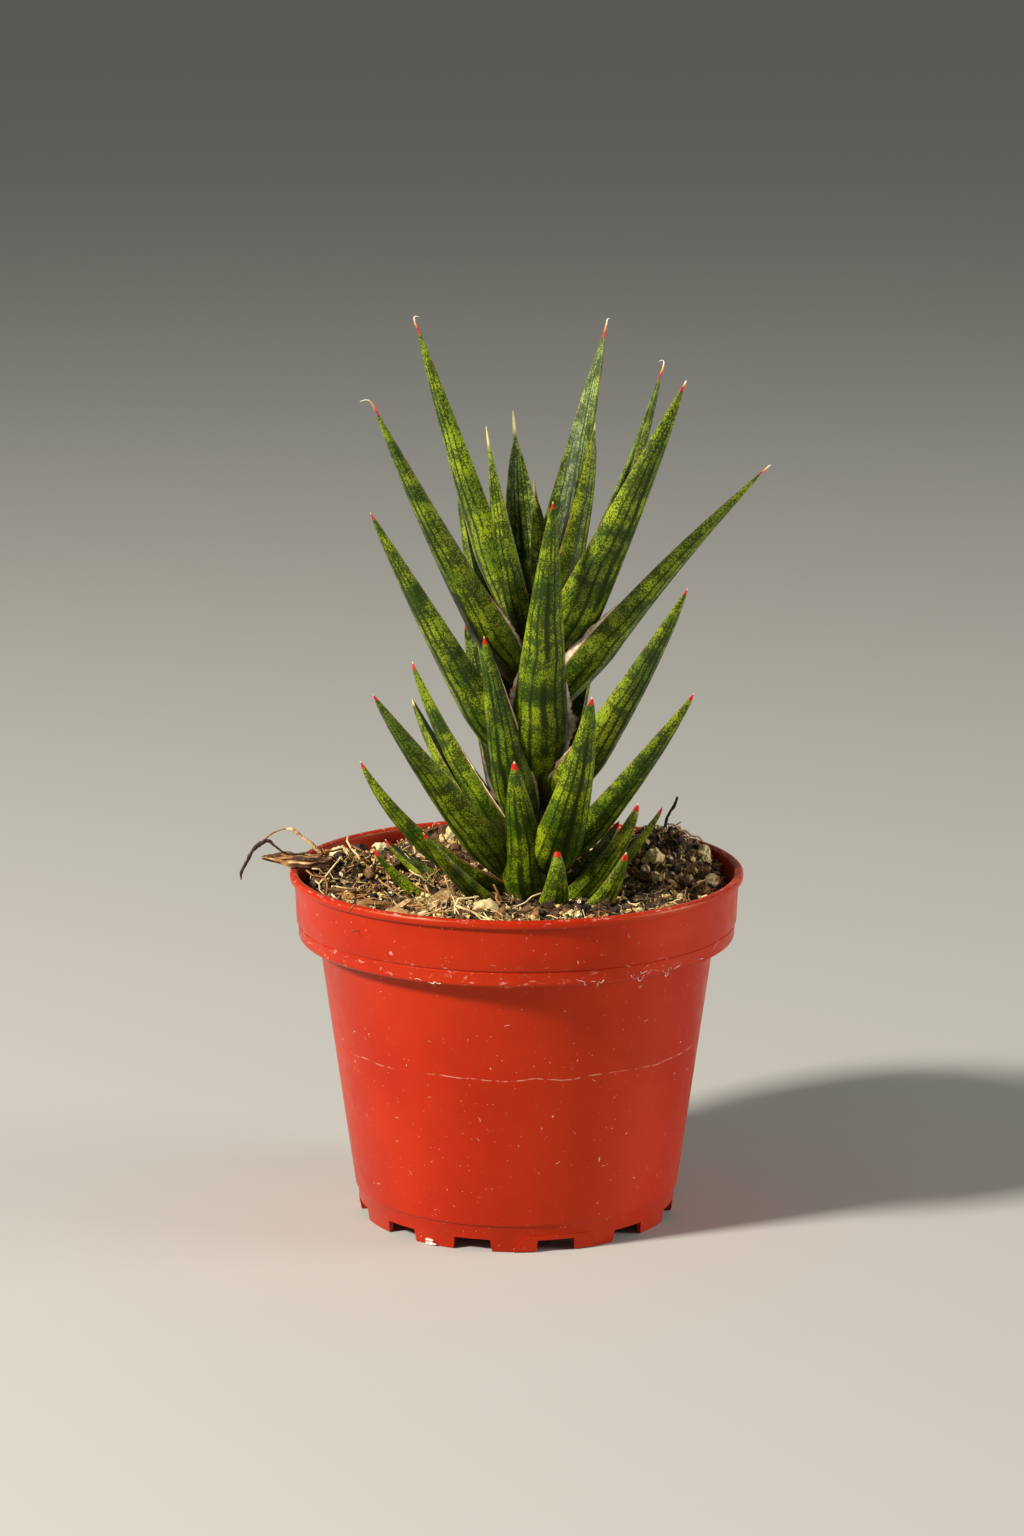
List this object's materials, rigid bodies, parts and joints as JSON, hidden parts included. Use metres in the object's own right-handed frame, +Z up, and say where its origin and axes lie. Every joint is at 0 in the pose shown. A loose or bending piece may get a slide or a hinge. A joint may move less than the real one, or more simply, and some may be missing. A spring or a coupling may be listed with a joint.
{
  "type": "potted snake plant",
  "caption": "Upright snake plant with thick, pointed, channelled leaves around a short stem, growing in gritty potting mix in a round tapered plastic nursery pot with a deep collar.",
  "frame": {"origin": "centre of the flat pad under the pot's floor, on the pot's axis, at the height it stands on", "axes": "+Z up along the pot's axis; -Y towards the side seen from the front, so +X is to the viewer's right"},
  "size_m": [0.1361, 0.12, 0.2377],
  "materials": {
    "pot": "satin",
    "soil": "matte",
    "stem": "matte",
    "leaf": "satin",
    "perlite": "matte",
    "bark": "matte",
    "dark_root": "matte",
    "pale_root": "matte"
  },
  "bodies": {
    "root": {"pot": "pot", "soil": "soil", "soil_clump": "soil", "stem": "stem", "leaf_01": "leaf", "leaf_02": "leaf", "leaf_03": "leaf", "leaf_04": "leaf", "leaf_05": "leaf", "leaf_06": "leaf", "leaf_07": "leaf", "leaf_08": "leaf", "leaf_09": "leaf", "leaf_10": "leaf", "leaf_11": "leaf", "leaf_12": "leaf", "leaf_13": "leaf", "leaf_14": "leaf", "leaf_15": "leaf", "leaf_16": "leaf", "leaf_17": "leaf", "leaf_18": "leaf", "leaf_19": "leaf", "leaf_20": "leaf", "leaf_21": "leaf", "leaf_22": "leaf", "leaf_23": "leaf", "leaf_24": "leaf", "leaf_25": "leaf", "leaf_26": "leaf", "leaf_27": "leaf", "leaf_28": "leaf", "leaf_29": "leaf", "leaf_30": "leaf", "leaf_31": "leaf", "leaf_32": "leaf", "leaf_33": "leaf", "leaf_34": "leaf", "leaf_35": "leaf", "leaf_36": "leaf", "perlite_01": "perlite", "perlite_02": "perlite", "perlite_03": "perlite", "perlite_04": "perlite", "perlite_05": "perlite", "perlite_06": "perlite", "perlite_07": "perlite", "perlite_08": "perlite", "perlite_09": "perlite", "bark_01": "bark", "bark_02": "bark", "bark_03": "bark", "bark_chip_rim": "bark", "curled_root_rim": "dark_root", "twig": "dark_root", "fine_root_rim": "pale_root"}
  },
  "joints": []
}
